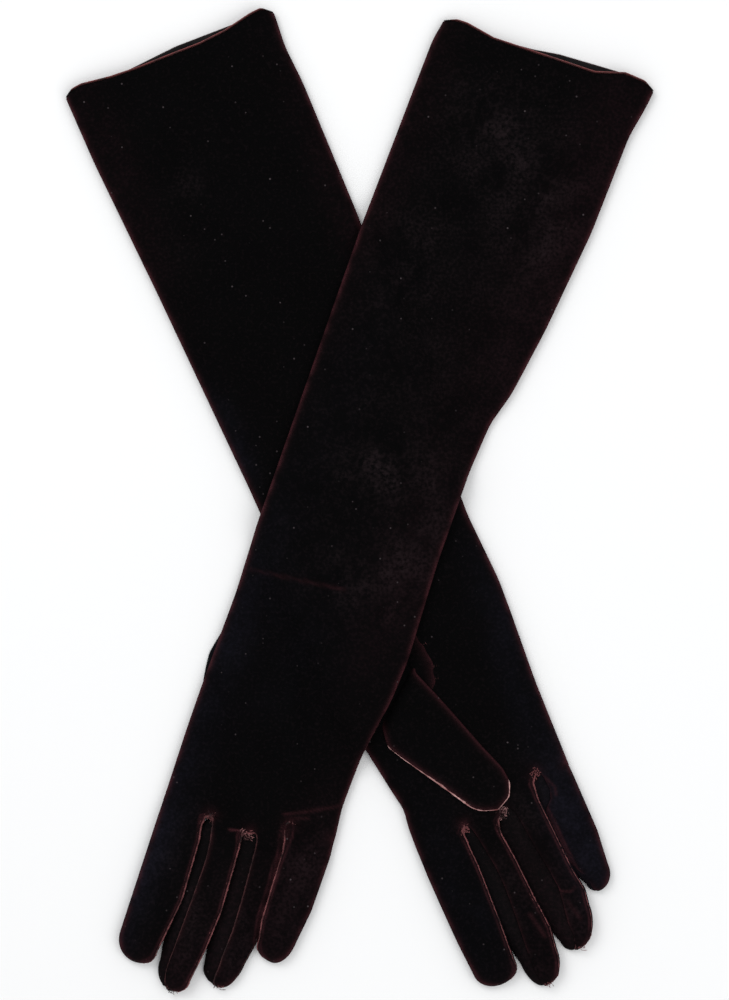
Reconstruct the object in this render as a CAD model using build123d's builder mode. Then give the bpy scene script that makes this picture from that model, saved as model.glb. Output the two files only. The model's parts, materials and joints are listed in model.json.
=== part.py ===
"""A pair of opera gloves lying flat, the left one crossed over the right.

Each glove is drawn in its own plan: u runs across it from the thumb side (negative) to the
little-finger side, and v runs from the middle fingertip up to the mouth of the sleeve. The right
glove lies palm up with its thumb folded over the palm. The left glove lies back up, with its thumb
folded under the palm, and it rises over the right glove where they cross.
"""

from build123d import *
import math
import os

# Cloth and the height of a glove that lies flat
FABRIC = 1.0
THICK = 7.2
HEM_FABRIC = 0.5
HEM_WIDTH = 12.0
THREAD = 0.8
FINGER_THREAD = 0.5
CLEAR = 0.3
SLEEVE_END = 561.0
PAST_END = 1.0
BEYOND_SIDES = 80.0
STITCH_FROM_EDGE = 1.6
STITCH_WIDTH = 0.8
STITCH_END_GAP = 5.0

# Where each middle fingertip lies, and how far each glove leans from the +Y axis
LEFT_TIP = (-101.6, -274.1)
RIGHT_TIP = (102.8, -270.2)
LEFT_LEAN = 21.55
RIGHT_LEAN = -21.67

# Fingers from index to little: one shoulder, the tip and the other shoulder
LEFT_FINGERS = [
    [(-41.6, 21.0), (-29.5, 7.8), (-19.0, 17.0)],
    [(-16.6, 14.0), (-5.5, 0.0), (4.4, 9.0)],
    [(7.4, 20.0), (18.5, 11.6), (29.3, 28.0)],
    [(31.8, 45.0), (42.5, 35.6), (50.5, 50.0)],
]
RIGHT_FINGERS = [
    [(-33.2, 20.0), (-21.5, 9.9), (-9.7, 18.0)],
    [(-7.3, 16.0), (1.5, 0.0), (14.6, 16.0)],
    [(18.0, 19.0), (25.0, 12.2), (40.6, 33.0)],
    [(43.4, 44.0), (49.0, 38.4), (57.8, 49.0)],
]
LEFT_CROTCHES = [(-19.5, 98.5), (3.0, 97.0), (22.8, 110.5)]
RIGHT_CROTCHES = [(-8.7, 99.0), (11.5, 97.0), (39.0, 111.0)]
HALF_SLIT = 1.2

# Long edges above the fingers, from the fingers to the mouth
LEFT_THUMB_EDGE = [(-46.5, 100.0), (-51.2, 215.0), (-61.3, 440.0), (-60.5, SLEEVE_END)]
LEFT_LITTLE_EDGE = [(46.5, 160.0), (44.0, 330.0), (58.5, 480.0), (60.0, SLEEVE_END)]
RIGHT_THUMB_EDGE = [(-37.0, 100.0), (-43.0, 160.0), (-49.5, 320.0), (-64.2, SLEEVE_END)]
RIGHT_LITTLE_EDGE = [(58.3, 140.0), (59.0, 240.0), (62.0, 430.0), (60.2, SLEEVE_END)]

# Thumb: its seam runs from the corner to the tip, and its fold runs back to the root
THUMB_THICK = 3.0
THUMB_FABRIC = 0.8
THUMB_THREAD = 0.6
ROOT_THICK = 2.0
THUMB_CORNER = (-31.6, 155.4)
THUMB_TIP = [(0.0, 107.6), (13.5, 101.2), (24.2, 115.0)]
HINGE_START = (-30.4, 165.3)
HINGE_END = (-4.0, 191.5)
SEAM_SIDE = [(-34, 158), (-34, 120), (0, 98), (16, 98), (16, 108), (-25, 158)]
ROOT_ARC = [(3.4, 175.5), (10.3, 190.0), (4.0, 203.0)]
ROOT_BULGE = 2.5
ROOT_BULGE_SPAN = (204.0, 183.0, 164.5)
RIGHT_PALM_EDGE = -44.2
LEFT_PALM_EDGE = -50.9

# How far the thumb's wall moves along the fold line and at the corner, as shares of its thickness,
# so that it stays even where the edges meet at an angle
START_SLANT = 1.4
END_SLANT = 1.1
CORNER_SLANT = 0.3

# The root stands this far back from the fold line, and its far corner leaves room for the turning thumb
FOLD_GAP = 0.5
TURNING_ROOM = (2.5, 3.5)
HOLE_CENTRE = (-27.0, 190.0)
HOLE_RADII = (14.0, 7.5)
HOLE_TURN = 15.0
HOLE_THREAD = 1.0

# The left glove's underside, as height over distance across the right glove
OVER_THUMB = THUMB_THICK + CLEAR
OVER_ROOT = THICK + CLEAR + ROOT_THICK + CLEAR
OVER_GLOVE = THICK + CLEAR
DRAPE = [
    (-290.0, 0.0),
    (-136.0, 0.0),
    (-119.0, OVER_THUMB),
    (-67.0, OVER_THUMB),
    (-51.0, OVER_ROOT),
    (4.0, OVER_ROOT),
    (18.0, OVER_GLOVE),
    (67.0, OVER_GLOVE),
    (97.0, 0.0),
    (420.0, 0.0),
]
DRAPE_RADIUS = 9.0
DRAPE_REACH = 650.0


def glove_plane(tip, lean):
    """The plane of a glove's plan, with its origin at the middle fingertip."""
    turn = math.radians(lean)
    across = (math.cos(turn), -math.sin(turn), 0)
    return Plane(origin=(tip[0], tip[1], 0), x_dir=across, z_dir=(0, 0, 1))


def outline(fingers, crotches, thumb_edge, little_edge, inwards=0.0, past=0.0):
    """A glove's whole plan without its thumb, in its own u and v, with its edges moved inwards.

    past is how far the plan runs out through the mouth of the sleeve.
    """
    thumb_side = [(u + inwards, v) for u, v in thumb_edge]
    little_side = [(u - inwards, v) for u, v in little_edge]
    tips = [
        [(a[0] + inwards, a[1]), (b[0], b[1] + inwards), (c[0] - inwards, c[1])]
        for a, b, c in fingers
    ]
    half = HALF_SLIT + inwards
    with BuildSketch() as plan:
        with BuildLine():
            Spline(*reversed(thumb_side), tips[0][0])
            for finger, crotch, following in zip(tips, crotches, tips[1:]):
                ThreePointArc(*finger)
                near = (crotch[0] - half, crotch[1])
                far = (crotch[0] + half, crotch[1])
                Line(finger[2], near)
                ThreePointArc(near, (crotch[0], crotch[1] + half), far)
                Line(far, following[0])
            ThreePointArc(*tips[-1])
            Spline(tips[-1][2], *little_side)
            little_end = little_side[-1]
            thumb_end = thumb_side[-1]
            if past:
                Polyline(
                    little_end,
                    (little_end[0], little_end[1] + past),
                    (thumb_end[0], thumb_end[1] + past),
                    thumb_end,
                )
            else:
                Line(little_end, thumb_end)
        make_face()
    return plan.sketch


def polygon(*corners):
    """A straight-sided face."""
    with BuildSketch() as face:
        with BuildLine():
            Polyline(*corners, close=True)
        make_face()
    return face.sketch


def common(first, second):
    """The ground that two plans share."""
    with BuildSketch() as both:
        add(first)
        add(second, mode=Mode.INTERSECT)
    return both.sketch


def without(plan, *others):
    """The plan with the others cut away."""
    with BuildSketch() as rest:
        add(plan)
        for other in others:
            add(other, mode=Mode.SUBTRACT)
    return rest.sketch


def slit_zone(finger, crotch, following):
    """The ground round one slit between two fingers, where a fourchette joins the panels."""
    reach = HALF_SLIT + FABRIC + CLEAR
    top = crotch[1] + reach
    low = max(finger[2][1], following[0][1])
    share = (crotch[1] - low) / (crotch[1] - finger[2][1])
    left = crotch[0] + (finger[2][0] - crotch[0]) * share
    share = (crotch[1] - low) / (crotch[1] - following[0][1])
    right = crotch[0] + (following[0][0] - crotch[0]) * share
    return polygon(
        (crotch[0] - reach, top),
        (left - reach, low),
        (right + reach, low),
        (crotch[0] + reach, top),
    )


def thumb_plan(inwards=0.0, past=0.0):
    """The free part of the thumb, from its tip to the line that it folds about.

    past is how far the plan runs out through the folded end.
    """
    start, end, corner = Vector(*HINGE_START), Vector(*HINGE_END), Vector(*THUMB_CORNER)
    tips = [Vector(*point) for point in THUMB_TIP]
    hinge = (end - start).normalized()
    seam = (tips[0] - corner).normalized()
    fold = (end - tips[2]).normalized()
    seam_in = Vector(-seam.Y, seam.X) * inwards
    fold_in = Vector(-fold.Y, fold.X) * inwards
    outwards = Vector(-hinge.Y, hinge.X) * past
    start_in = start + hinge * inwards * START_SLANT
    end_in = end - hinge * inwards * END_SLANT
    corner_in = corner + (inwards, inwards * CORNER_SLANT)
    with BuildSketch() as plan:
        with BuildLine():
            Polyline(start_in, corner_in, tips[0] + seam_in)
            ThreePointArc(tips[0] + seam_in, tips[1] + (0, inwards), tips[2] + fold_in)
            Line(tips[2] + fold_in, end_in)
            if past:
                Polyline(end_in, end_in + outwards, start_in + outwards, start_in)
            else:
                Line(end_in, start_in)
        make_face()
    return plan.sketch


def root_plan(edge):
    """The thumb's root, from the fold line to the hole, with a bulge past the palm's edge."""
    near = (HINGE_START[0] - FOLD_GAP, HINGE_START[1] + FOLD_GAP)
    far = (HINGE_END[0] + TURNING_ROOM[0], HINGE_END[1] + TURNING_ROOM[1])
    top, middle, foot = ROOT_BULGE_SPAN
    inside = edge + ROOT_BULGE
    with BuildSketch() as plan:
        with BuildLine():
            Polyline(near, far, ROOT_ARC[0])
            ThreePointArc(*ROOT_ARC)
            Line(ROOT_ARC[2], (inside, top))
            ThreePointArc((inside, top), (edge - ROOT_BULGE, middle), (inside, foot))
            Line((inside, foot), near)
        make_face()
    return plan.sketch


def hole_plan(grow):
    """The thumb hole in the palm, larger by grow all round."""
    with BuildSketch() as plan:
        with Locations(HOLE_CENTRE):
            Ellipse(HOLE_RADII[0] + grow, HOLE_RADII[1] + grow, rotation=HOLE_TURN)
    return plan.sketch


LEFT = (LEFT_FINGERS, LEFT_CROTCHES, LEFT_THUMB_EDGE, LEFT_LITTLE_EDGE)
RIGHT = (RIGHT_FINGERS, RIGHT_CROTCHES, RIGHT_THUMB_EDGE, RIGHT_LITTLE_EDGE)

# The origin is the middle of the pair's outline, on the surface that the pair lies on.
rough = [
    (glove_plane(LEFT_TIP, LEFT_LEAN) * outline(*LEFT)).bounding_box(),
    (glove_plane(RIGHT_TIP, RIGHT_LEAN) * outline(*RIGHT)).bounding_box(),
]
MIDDLE_X = (min(b.min.X for b in rough) + max(b.max.X for b in rough)) / 2
MIDDLE_Y = (min(b.min.Y for b in rough) + max(b.max.Y for b in rough)) / 2
left_plane = glove_plane((LEFT_TIP[0] - MIDDLE_X, LEFT_TIP[1] - MIDDLE_Y), LEFT_LEAN)
right_plane = glove_plane((RIGHT_TIP[0] - MIDDLE_X, RIGHT_TIP[1] - MIDDLE_Y), RIGHT_LEAN)
drape_plane = Plane(right_plane.origin, x_dir=right_plane.x_dir, z_dir=-right_plane.y_dir)


def flat_layer(plane, plan, low, high, mode=Mode.ADD):
    """The plan as a flat layer between two heights above the ground."""
    with BuildSketch(plane.offset(low)) as ground:
        add(plan)
    extrude(ground.sketch, amount=high - low, mode=mode)


def draped_layer(plane, plan, low, high, mode=Mode.ADD):
    """The plan as a layer that follows the drape, between two heights above it."""
    with BuildSketch(plane) as ground:
        add(plan)
    with BuildSketch(drape_plane) as side:
        with BuildLine():
            lower = FilletPolyline(*[(x, z + low) for x, z in DRAPE], radius=DRAPE_RADIUS)
            upper = FilletPolyline(*[(x, z + high) for x, z in DRAPE], radius=DRAPE_RADIUS)
            Line(lower @ 0, upper @ 0)
            Line(lower @ 1, upper @ 1)
        make_face()
    prism = extrude(ground.sketch, amount=OVER_ROOT + 2 * THICK, mode=Mode.PRIVATE)
    band = extrude(side.sketch, amount=DRAPE_REACH, both=True, mode=Mode.PRIVATE)
    add(prism & band, mode=mode)


def save(builder, name):
    """Labels a finished piece and writes it."""
    builder.part.label = name
    export_step(builder.part, f"parts/{name}.step")


def make_hand(side, plane, shape, layer, palm_is_up):
    """One glove's body: two panels, the fourchettes between its fingers, hem and seams."""
    fingers, crotches, thumb_edge, little_edge = shape
    thumb_end = thumb_edge[-1][0]
    little_end = little_edge[-1][0]
    plan = outline(*shape)
    inner = outline(*shape, FABRIC, past=PAST_END)
    hollow = outline(*shape, FABRIC + HEM_FABRIC, past=PAST_END)
    zones = [slit_zone(f, c, g) for f, c, g in zip(fingers, crotches, fingers[1:])]
    wall = without(plan, inner)
    rim = without(wall, *zones)
    hole = hole_plan(HOLE_THREAD)
    middle = THICK / 2
    top_skin = THICK - FABRIC

    with BuildPart() as lower_panel:
        layer(plane, plan if palm_is_up else without(plan, hole), 0, FABRIC)
        layer(plane, rim, FABRIC, middle - THREAD / 2)
    with BuildPart() as upper_panel:
        layer(plane, without(plan, hole) if palm_is_up else plan, top_skin, THICK)
        layer(plane, rim, middle + THREAD / 2, top_skin)
    save(lower_panel, f"{side}_back_panel" if palm_is_up else f"{side}_palm_panel")
    save(upper_panel, f"{side}_palm_panel" if palm_is_up else f"{side}_back_panel")

    with BuildPart() as hole_seam:
        ring = without(hole, hole_plan(0))
        low = top_skin if palm_is_up else 0
        layer(plane, ring, low, low + FABRIC)
    save(hole_seam, f"{side}_thumb_hole_seam")

    with BuildPart() as edge_seams:
        layer(plane, rim, middle - THREAD / 2, middle + THREAD / 2)
    by_size = edge_seams.part.solids().sort_by(SortBy.VOLUME)
    index_side, little_side = by_size[-2:].sort_by(Axis.X)
    for name, solid in [("index_side", index_side), ("little_side", little_side)]:
        with BuildPart() as side_seam:
            add(solid)
        save(side_seam, f"{side}_{name}_seam")
    with BuildPart() as tip_seams:
        add(by_size[:-2])
    save(tip_seams, f"{side}_fingertip_seams")

    for name, zone in zip(["index_middle", "middle_ring", "ring_little"], zones):
        strip = common(wall, zone)
        with BuildPart() as fourchette:
            layer(plane, strip, FABRIC + FINGER_THREAD, top_skin - FINGER_THREAD)
        save(fourchette, f"{side}_{name}_fourchette")
        with BuildPart() as finger_seam:
            layer(plane, strip, FABRIC, FABRIC + FINGER_THREAD)
            layer(plane, strip, top_skin - FINGER_THREAD, top_skin)
        save(finger_seam, f"{side}_{name}_seam")

    start = SLEEVE_END - HEM_WIDTH
    mouth_end = polygon(
        (-BEYOND_SIDES, start),
        (BEYOND_SIDES, start),
        (BEYOND_SIDES, SLEEVE_END),
        (-BEYOND_SIDES, SLEEVE_END),
    )
    band = common(common(plan, inner), mouth_end)
    stitch_low = start + STITCH_FROM_EDGE
    stitch_high = stitch_low + STITCH_WIDTH
    stitch = polygon(
        (thumb_end + STITCH_END_GAP, stitch_low),
        (little_end - STITCH_END_GAP, stitch_low),
        (little_end - STITCH_END_GAP, stitch_high),
        (thumb_end + STITCH_END_GAP, stitch_high),
    )
    low_inside = FABRIC + HEM_FABRIC
    high_inside = top_skin - HEM_FABRIC
    with BuildPart() as hem:
        layer(plane, without(band, stitch), FABRIC, low_inside)
        layer(plane, without(band, hollow), low_inside, high_inside)
        layer(plane, without(band, stitch), high_inside, top_skin)
    save(hem, f"{side}_hem")
    with BuildPart() as hem_stitching:
        layer(plane, stitch, FABRIC, low_inside)
        layer(plane, stitch, high_inside, top_skin)
    save(hem_stitching, f"{side}_hem_stitching")


def make_thumb(side, plane, edge, bottom, root_bottom, hole_below):
    """One glove's thumb: the free tube, its seam, and the flat root sewn into the palm."""
    plan = thumb_plan()
    inner = thumb_plan(THUMB_FABRIC, past=PAST_END)
    seam_strip = common(without(plan, inner), polygon(*SEAM_SIDE))
    low = bottom + (THUMB_THICK - THUMB_THREAD) / 2
    with BuildPart() as thumb:
        flat_layer(plane, plan, bottom, bottom + THUMB_THICK)
        flat_layer(
            plane,
            inner,
            bottom + THUMB_FABRIC,
            bottom + THUMB_THICK - THUMB_FABRIC,
            mode=Mode.SUBTRACT,
        )
        flat_layer(plane, seam_strip, low, low + THUMB_THREAD, mode=Mode.SUBTRACT)
    save(thumb, f"{side}_thumb")
    with BuildPart() as thumb_seam:
        flat_layer(plane, seam_strip, low, low + THUMB_THREAD)
    save(thumb_seam, f"{side}_thumb_seam")

    pocket = root_bottom if hole_below else root_bottom + THUMB_FABRIC
    with BuildPart() as root:
        flat_layer(plane, root_plan(edge), root_bottom, root_bottom + ROOT_THICK)
        flat_layer(
            plane,
            hole_plan(0),
            pocket,
            pocket + ROOT_THICK - THUMB_FABRIC,
            mode=Mode.SUBTRACT,
        )
    save(root, f"{side}_thumb_root")


os.makedirs("parts", exist_ok=True)
make_hand("right", right_plane, RIGHT, flat_layer, palm_is_up=True)
make_hand("left", left_plane, LEFT, draped_layer, palm_is_up=False)
make_thumb("right", right_plane, RIGHT_PALM_EDGE, THICK + CLEAR, THICK + CLEAR, True)
make_thumb("left", left_plane, LEFT_PALM_EDGE, 0, THUMB_THICK - ROOT_THICK, False)

for label, plane, height in [
    ("right", right_plane, THICK + CLEAR + THUMB_THICK),
    ("left", left_plane, 0),
]:
    ends = [plane.from_local_coords((u, v, height)) for u, v in (HINGE_START, HINGE_END)]
    print(label, "thumb hinge line", [tuple(round(n, 3) for n in end) for end in ends])
print("sleeve and hand planes", left_plane.origin, right_plane.origin)
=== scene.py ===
import json
from math import cos, radians, sin

import bmesh
import bpy
import numpy as np
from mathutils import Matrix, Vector, noise


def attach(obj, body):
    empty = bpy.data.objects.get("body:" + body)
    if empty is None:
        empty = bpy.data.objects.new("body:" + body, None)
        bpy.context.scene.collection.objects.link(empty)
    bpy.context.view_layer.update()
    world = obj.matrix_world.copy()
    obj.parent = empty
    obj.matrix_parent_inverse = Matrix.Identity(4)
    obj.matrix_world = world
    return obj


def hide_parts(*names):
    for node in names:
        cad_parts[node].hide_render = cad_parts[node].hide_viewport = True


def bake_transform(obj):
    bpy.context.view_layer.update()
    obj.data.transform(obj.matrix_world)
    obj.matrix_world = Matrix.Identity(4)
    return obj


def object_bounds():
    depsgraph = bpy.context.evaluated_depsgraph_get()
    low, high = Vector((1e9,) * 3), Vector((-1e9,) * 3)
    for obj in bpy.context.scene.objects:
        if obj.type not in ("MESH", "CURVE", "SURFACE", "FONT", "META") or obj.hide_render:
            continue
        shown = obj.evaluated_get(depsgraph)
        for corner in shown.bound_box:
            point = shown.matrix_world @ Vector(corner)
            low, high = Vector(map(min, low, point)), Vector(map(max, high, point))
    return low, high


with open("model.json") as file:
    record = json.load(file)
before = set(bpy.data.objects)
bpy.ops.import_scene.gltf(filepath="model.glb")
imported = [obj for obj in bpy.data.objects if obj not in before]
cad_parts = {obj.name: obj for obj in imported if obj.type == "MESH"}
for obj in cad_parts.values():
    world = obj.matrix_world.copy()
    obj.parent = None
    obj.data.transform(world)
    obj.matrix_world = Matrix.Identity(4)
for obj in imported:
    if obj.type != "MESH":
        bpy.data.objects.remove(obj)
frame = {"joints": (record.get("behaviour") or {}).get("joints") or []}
cad_box = [list(corner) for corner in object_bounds()]

# Sizes are millimetres in each glove's own plane: u across the hand, away from the thumb, v from the middle
# fingertip to the sleeve's mouth, z up from the table. Glove.world turns them into metres in the frame.
MM = 0.001
# Cloth and how high a glove lies
CLOTH = 0.8
STRIP_CLOTH = 0.5
THUMB_CLOTH = 0.6
HEM_CLOTH = 0.5
HAND_THICK = 5.4
FINGER_THICK = 5.8
THUMB_THICK = 3.4
MOUTH_RISE = 2.2
TABLE_GAP = 0.85
UNDERLAP = 0.34
HEM_WIDTH = 12
# Flat sheets' length, in metres, and the v where a sleeve's width is taken
FLAT_LENGTH = 0.566
FLAT_WIDTH_AT = 440
# How finely the cloth is drawn
FINGER_COLUMNS = 26
FINGER_ROWS = 120
FIRST_WALL_ROW = 6
TIP_TUFT_ROW = 9
TIP_SEAM_ROWS = int(FINGER_ROWS * 0.2)
SLEEVE_ROWS = 280
FOURCHETTE_COLUMNS = 6
THUMB_ROWS = 70
THUMB_COLUMNS = 26
ROOT_ROWS = 30
ROOT_COLUMNS = 12
# Where a finger's tube turns into the hand, as a share of its length
HAND_STARTS = 0.74
# The thumb's fold line and hole
HINGE_MIDDLE = (-17.2, 178.4)
HOLE_CENTRE = (-24, 190)
HOLE_RADII = (12, 7)
HOLE_TURN = radians(15)
# Seams
SEAM_HALF_WIDTH = 1.25
SEAM_HEIGHT = 0.75
SEAM_FROM_EDGE = 1.5
RIBBON_POINTS = 9
STITCHES_INSIDE = 2.1
STITCH_LENGTH = 3
STITCH_GAP = 1.6
TIP_TUFT_COUNT = 26
TIP_TUFT_REACH = 3.2

# Each finger: left edge and right edge as (v, u), the top seam beside a visible fourchette, and its tip as
# (v where the left side starts to round, tip u, tip v, v where the right side starts to round). raised is the
# height of the left and right sides where they lie over a neighbour.
LEFT_FINGERS = [
    dict(left=[(20, -41.8), (60, -44.2), (98, -46.5)], tip=(21, -29.5, 7.8, 17), raised=(0, 2.3),
         right=[(17, -18.6), (30, -17.6), (49, -16.2), (62, -17.4), (84, -19.4), (93, -22), (97.5, -22.4),
                (99.6, -19.4)]),
    dict(left=[(14, -16.6), (35, -21), (60, -23), (90, -23.4), (99.6, -19.4)], tip=(14, -5.5, 0, 9),
         raised=(0, 2.2), seam=[(20, -10.4), (51, -11.1), (75, -12), (86, -13.6), (94, -15.6), (98.2, -16.8),
                                (99.6, -19.4)],
         right=[(9, 4.4), (29, 6.2), (51, 6.5), (69, 4.8), (87, 3), (94.7, 0.5), (97, 1.2), (98.4, 4)]),
    dict(left=[(20, 7.4), (40, 3), (70, 0), (93, -1.5), (98.4, 4)], tip=(20, 18.5, 11.6, 28), raised=(0, 0),
         seam=[(17, 16.3), (41, 16.4), (58, 14.9), (77, 12.6), (90, 10.8), (95, 9), (97.6, 7), (98.4, 4)],
         right=[(28, 29.3), (45, 31.5), (60, 34), (80, 33), (98, 30), (107, 28.5), (112, 23.8)]),
    dict(left=[(45, 30.6), (55, 28.2), (72, 26.7), (90, 25.4), (95, 25), (100.7, 23.6), (106, 22.4),
               (110, 22), (112, 23.8)], tip=(45, 42.5, 35.6, 50), raised=(2.2, 0),
         right=[(50, 50.5), (70, 52), (100, 50.8), (112, 49.8)]),
]
RIGHT_FINGERS = [
    dict(left=[(20, -33.2), (40, -35), (60, -36), (80, -36.8), (98, -37)], tip=(20, -21.5, 9.9, 18),
         raised=(0, 2.3), right=[(18, -9.5), (43, -8.7), (75, -8.4), (90, -9.2), (97.5, -10.8), (99.8, -8)]),
    dict(left=[(16, -7.3), (40, -13), (70, -15), (93, -13), (99.8, -8)], tip=(16, 1.5, 0, 16),
         raised=(0, 2.3), seam=[(20, -1), (42, 0), (60, 0.4), (72, -0.2), (88, -2.8), (95, -4.4),
                                (98.6, -5.6), (99.8, -8)],
         right=[(16, 14.6), (30, 16.1), (50, 14), (72, 12.2), (90, 9.9), (96, 10.4), (99.2, 14.6)]),
    dict(left=[(19, 18), (35, 12), (60, 8), (88, 7), (99.2, 14.6)], tip=(19, 25, 12.2, 33), raised=(0, 2.2),
         seam=[(20, 25), (46, 28.3), (56, 26.8), (75, 23.6), (90, 21.6), (96, 19.6), (98.6, 17.4),
               (99.2, 14.6)],
         right=[(33, 40.6), (42, 41.8), (55, 39.6), (75, 38.2), (97, 36.6), (108, 36.4), (112.6, 39.6)]),
    dict(left=[(44, 43.4), (60, 35), (85, 33), (106, 34), (112.6, 39.6)], tip=(44, 49, 38.4, 49),
         raised=(0, 0), seam=[(50, 44), (60, 39), (65, 37), (84, 36), (91, 38), (96, 42.5), (101, 44),
                              (108, 43.4), (111.8, 42), (112.6, 39.6)],
         right=[(50, 58), (70, 59.5), (100, 58.5), (112, 58.2)]),
]
# The hand's and sleeve's two edges as (v, u), and the mouth's line as (u, v) for the upper and lower cloth.
LEFT_OUTLINE = dict(
    radial=[(98, -46.5), (140, -49), (160, -49.8), (180, -50.4), (200, -50.8), (220, -51.2), (260, -54.2),
            (440, -61.3), (520, -62.2), (549, -62.4), (560, -60.5)],
    ulnar=[(111, 49.9), (130, 47), (160, 46.5), (196, 50.2), (220, 50.6), (278, 46), (330, 44), (360, 45),
           (380, 50), (420, 54.5), (480, 58.4), (538, 58.2), (556, 60.9), (566, 61.8)],
    upper=[(-61, 559.5), (-55, 562.2), (-49, 562.5), (-32, 560), (-10, 561.2), (28, 563.2), (36, 566),
           (44, 569), (56, 568.8), (62, 566)],
    lower=[(-61, 559.5), (-55, 561.5), (-30, 560), (-9, 562.4), (6, 565.2), (30, 567.4), (44, 568.6),
           (62, 566)])
RIGHT_OUTLINE = dict(
    radial=[(98, -37), (112, -36.6), (120, -35.2), (130, -37.5), (160, -43), (240, -46), (320, -49.5),
            (440, -57), (520, -62.8), (560, -64.2)],
    ulnar=[(111, 58.2), (160, 58), (200, 59.5), (220, 60), (260, 57.2), (340, 59.2), (440, 62), (520, 60.8),
           (541, 59), (561, 60.2)],
    upper=[(-64, 559.5), (-60, 562), (-54, 562.7), (-36, 560.2), (-20, 559.6), (16, 559.4), (32, 560.8),
           (48, 564.4), (55, 565), (60, 561)],
    lower=[(-64, 559.5), (-54, 562), (-26, 560.4), (3, 562.8), (22, 562.6), (40, 562.4), (55, 564.4),
           (60, 561)])
# The folded thumb: its sewn side from the hole to the tip and its folded side, as (u, v).
THUMB_SEWN = [(-29, 174.2), (-30.6, 162), (-30.9, 156.4), (-26, 148), (-11.8, 126.4), (0, 107.8),
              (4.4, 104.4), (12.7, 101.6)]
THUMB_FOLDED = [(4, 199), (-2.5, 190), (3.7, 174.5), (7.6, 164), (11.2, 154), (16.9, 137.9), (23.5, 121.4),
                (24.2, 113.9), (21.1, 106.1), (12.7, 101.6)]
# The thumb's root: the gusset between ROOT_FOLD and ROOT_ARC, the cover between ROOT_BASE and ROOT_BACK, and
# the bulge past the hand's edge.
ROOT_FOLD = [(3.7, 175.2), (-2, 188), (-5, 197), (-3, 205), (5.6, 211)]
ROOT_ARC = [(4.4, 174.8), (7.9, 180.6), (10.3, 190), (9.2, 202), (6.4, 211)]
ROOT_BASE = [(-31, 172.5), (-22, 177.5), (-12, 186), (0, 195.5)]
ROOT_BACK = [(-33, 175.5), (-37.5, 184), (-36.5, 191), (-30, 197.5), (-22, 199), (-13, 199.5), (-4, 204),
             (5.6, 210.6)]
ROOT_CROWN = 1.6
BULGE_MIDDLE, BULGE_LENGTH, BULGE_REACH, BULGE_HEIGHT = 183, 42, 3.0, 2.6

# Creases as (start, end, depth, half width). SHOWN_LINES are polylines of (u, v) where the pile is parted and
# a reddish sheen is painted, each with its strength and half width: stitches showing through, short creases
# and pinched spots.
CREASES = dict(
    left=[((18.5, 115), (46, 130.5), 0.8, 1.6), ((22, 118), (32, 123), -0.5, 1.4),
          ((-49, 235), (4, 244), 0.7, 1.8), ((-6.5, 95.6), (0.5, 98), 0.8, 1.2),
          ((38, 350), (46, 372), 1.2, 6)],
    right=[((-35, 121), (-22, 128), 0.8, 3), ((26.8, 56), (28.5, 46), 0.5, 1.4),
           ((13, 101), (22, 96), 0.5, 1.4)])
SHOWN_LINES = dict(
    left=[([(18.5, 115), (30, 121), (47, 131)], 0.42, 0.8), ([(22, 113.5), (32, 118)], 0.35, 0.7),
          ([(-49, 235), (-20, 240), (4, 244)], 0.30, 0.9), ([(-6.5, 95.6), (-2, 97), (0.8, 97.6)], 1.0, 0.7),
          ([(28, 70), (27.6, 84), (27.3, 97), (27.3, 105.6), (26.6, 110), (24, 112)], 0.7, 0.6),
          ([(-13, 14), (-14, 30), (-12, 36)], 0.35, 1.0), ([(9, 32), (13, 40)], 0.3, 1.0)],
    right=[([(23.5, 61), (26.8, 56), (28.5, 46), (33, 44), (37, 45)], 0.75, 0.6),
           ([(30, 39), (33, 28)], 0.3, 1.2), ([(8, 40), (11, 26)], 0.35, 1.2),
           ([(44, 108), (47, 101), (46, 97)], 0.35, 0.9)])

# Soft patches on each glove as (u, v, reach in u, reach in v, strength): brushed pile, which is lighter, and
# painted cool and warm sheen.
BRUSHED_AND_SHEEN = dict(
    left=dict(
        brushed=[(-14, 515, 22, 26, 0.8), (20, 490, 26, 30, 0.6), (34, 466, 12, 30, 0.5),
                 (-31, 432, 18, 26, 0.5), (-2, 313, 20, 16, 0.9), (30, 284, 14, 34, 0.9),
                 (4, 250, 24, 16, 0.6), (0, 400, 60, 120, 0.25), (-30, 65, 9, 40, 0.3),
                 (-4, 40, 10, 30, 0.5), (22, 45, 9, 26, 0.5), (40, 80, 12, 40, 0.45)],
        cool=[(-45, 60, 13, 60, 1.0), (-48, 200, 14, 70, 0.5), (-10, 200, 30, 60, 0.12),
              (-36, 340, 14, 60, 0.08)],
        warm=[(50, 500, 22, 90, 0.8), (40, 400, 30, 60, 0.5), (34, 270, 20, 60, 0.8), (40, 80, 16, 50, 0.8),
              (10, 40, 26, 40, 0.5), (-58, 480, 14, 90, 0.5), (0, 10, 30, 16, 0.5)]),
    right=dict(
        brushed=[(-16, 488, 12, 10, 0.4), (-36, 460, 10, 14, 0.2), (12, 115, 40, 25, 0.15),
                 (5, 40, 9, 40, 0.4), (30, 40, 9, 30, 0.45), (26, 95, 8, 12, 0.4)],
        cool=[(50, 70, 13, 50, 1.0), (53, 180, 12, 60, 0.4), (-52, 344, 10, 26, 0.7),
              (-24, 60, 14, 60, 0.25)],
        warm=[(22, 45, 20, 40, 0.6), (-55, 500, 14, 70, 0.5), (55, 440, 10, 90, 0.4), (8, 10, 30, 14, 0.5)]))


def at(points, x):
    """The polyline's value at x, held at its ends."""
    xs, ys = zip(*points)
    return np.interp(x, xs, ys)


def eased(points, x, soft=4.0):
    """The polyline's value at x with its corners rounded."""
    return sum(at(points, x + step * soft) for step in (-1, -0.5, 0, 0.5, 1)) / 5


def smooth(x):
    x = np.clip(x, 0, 1)
    return x * x * (3 - 2 * x)


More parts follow.
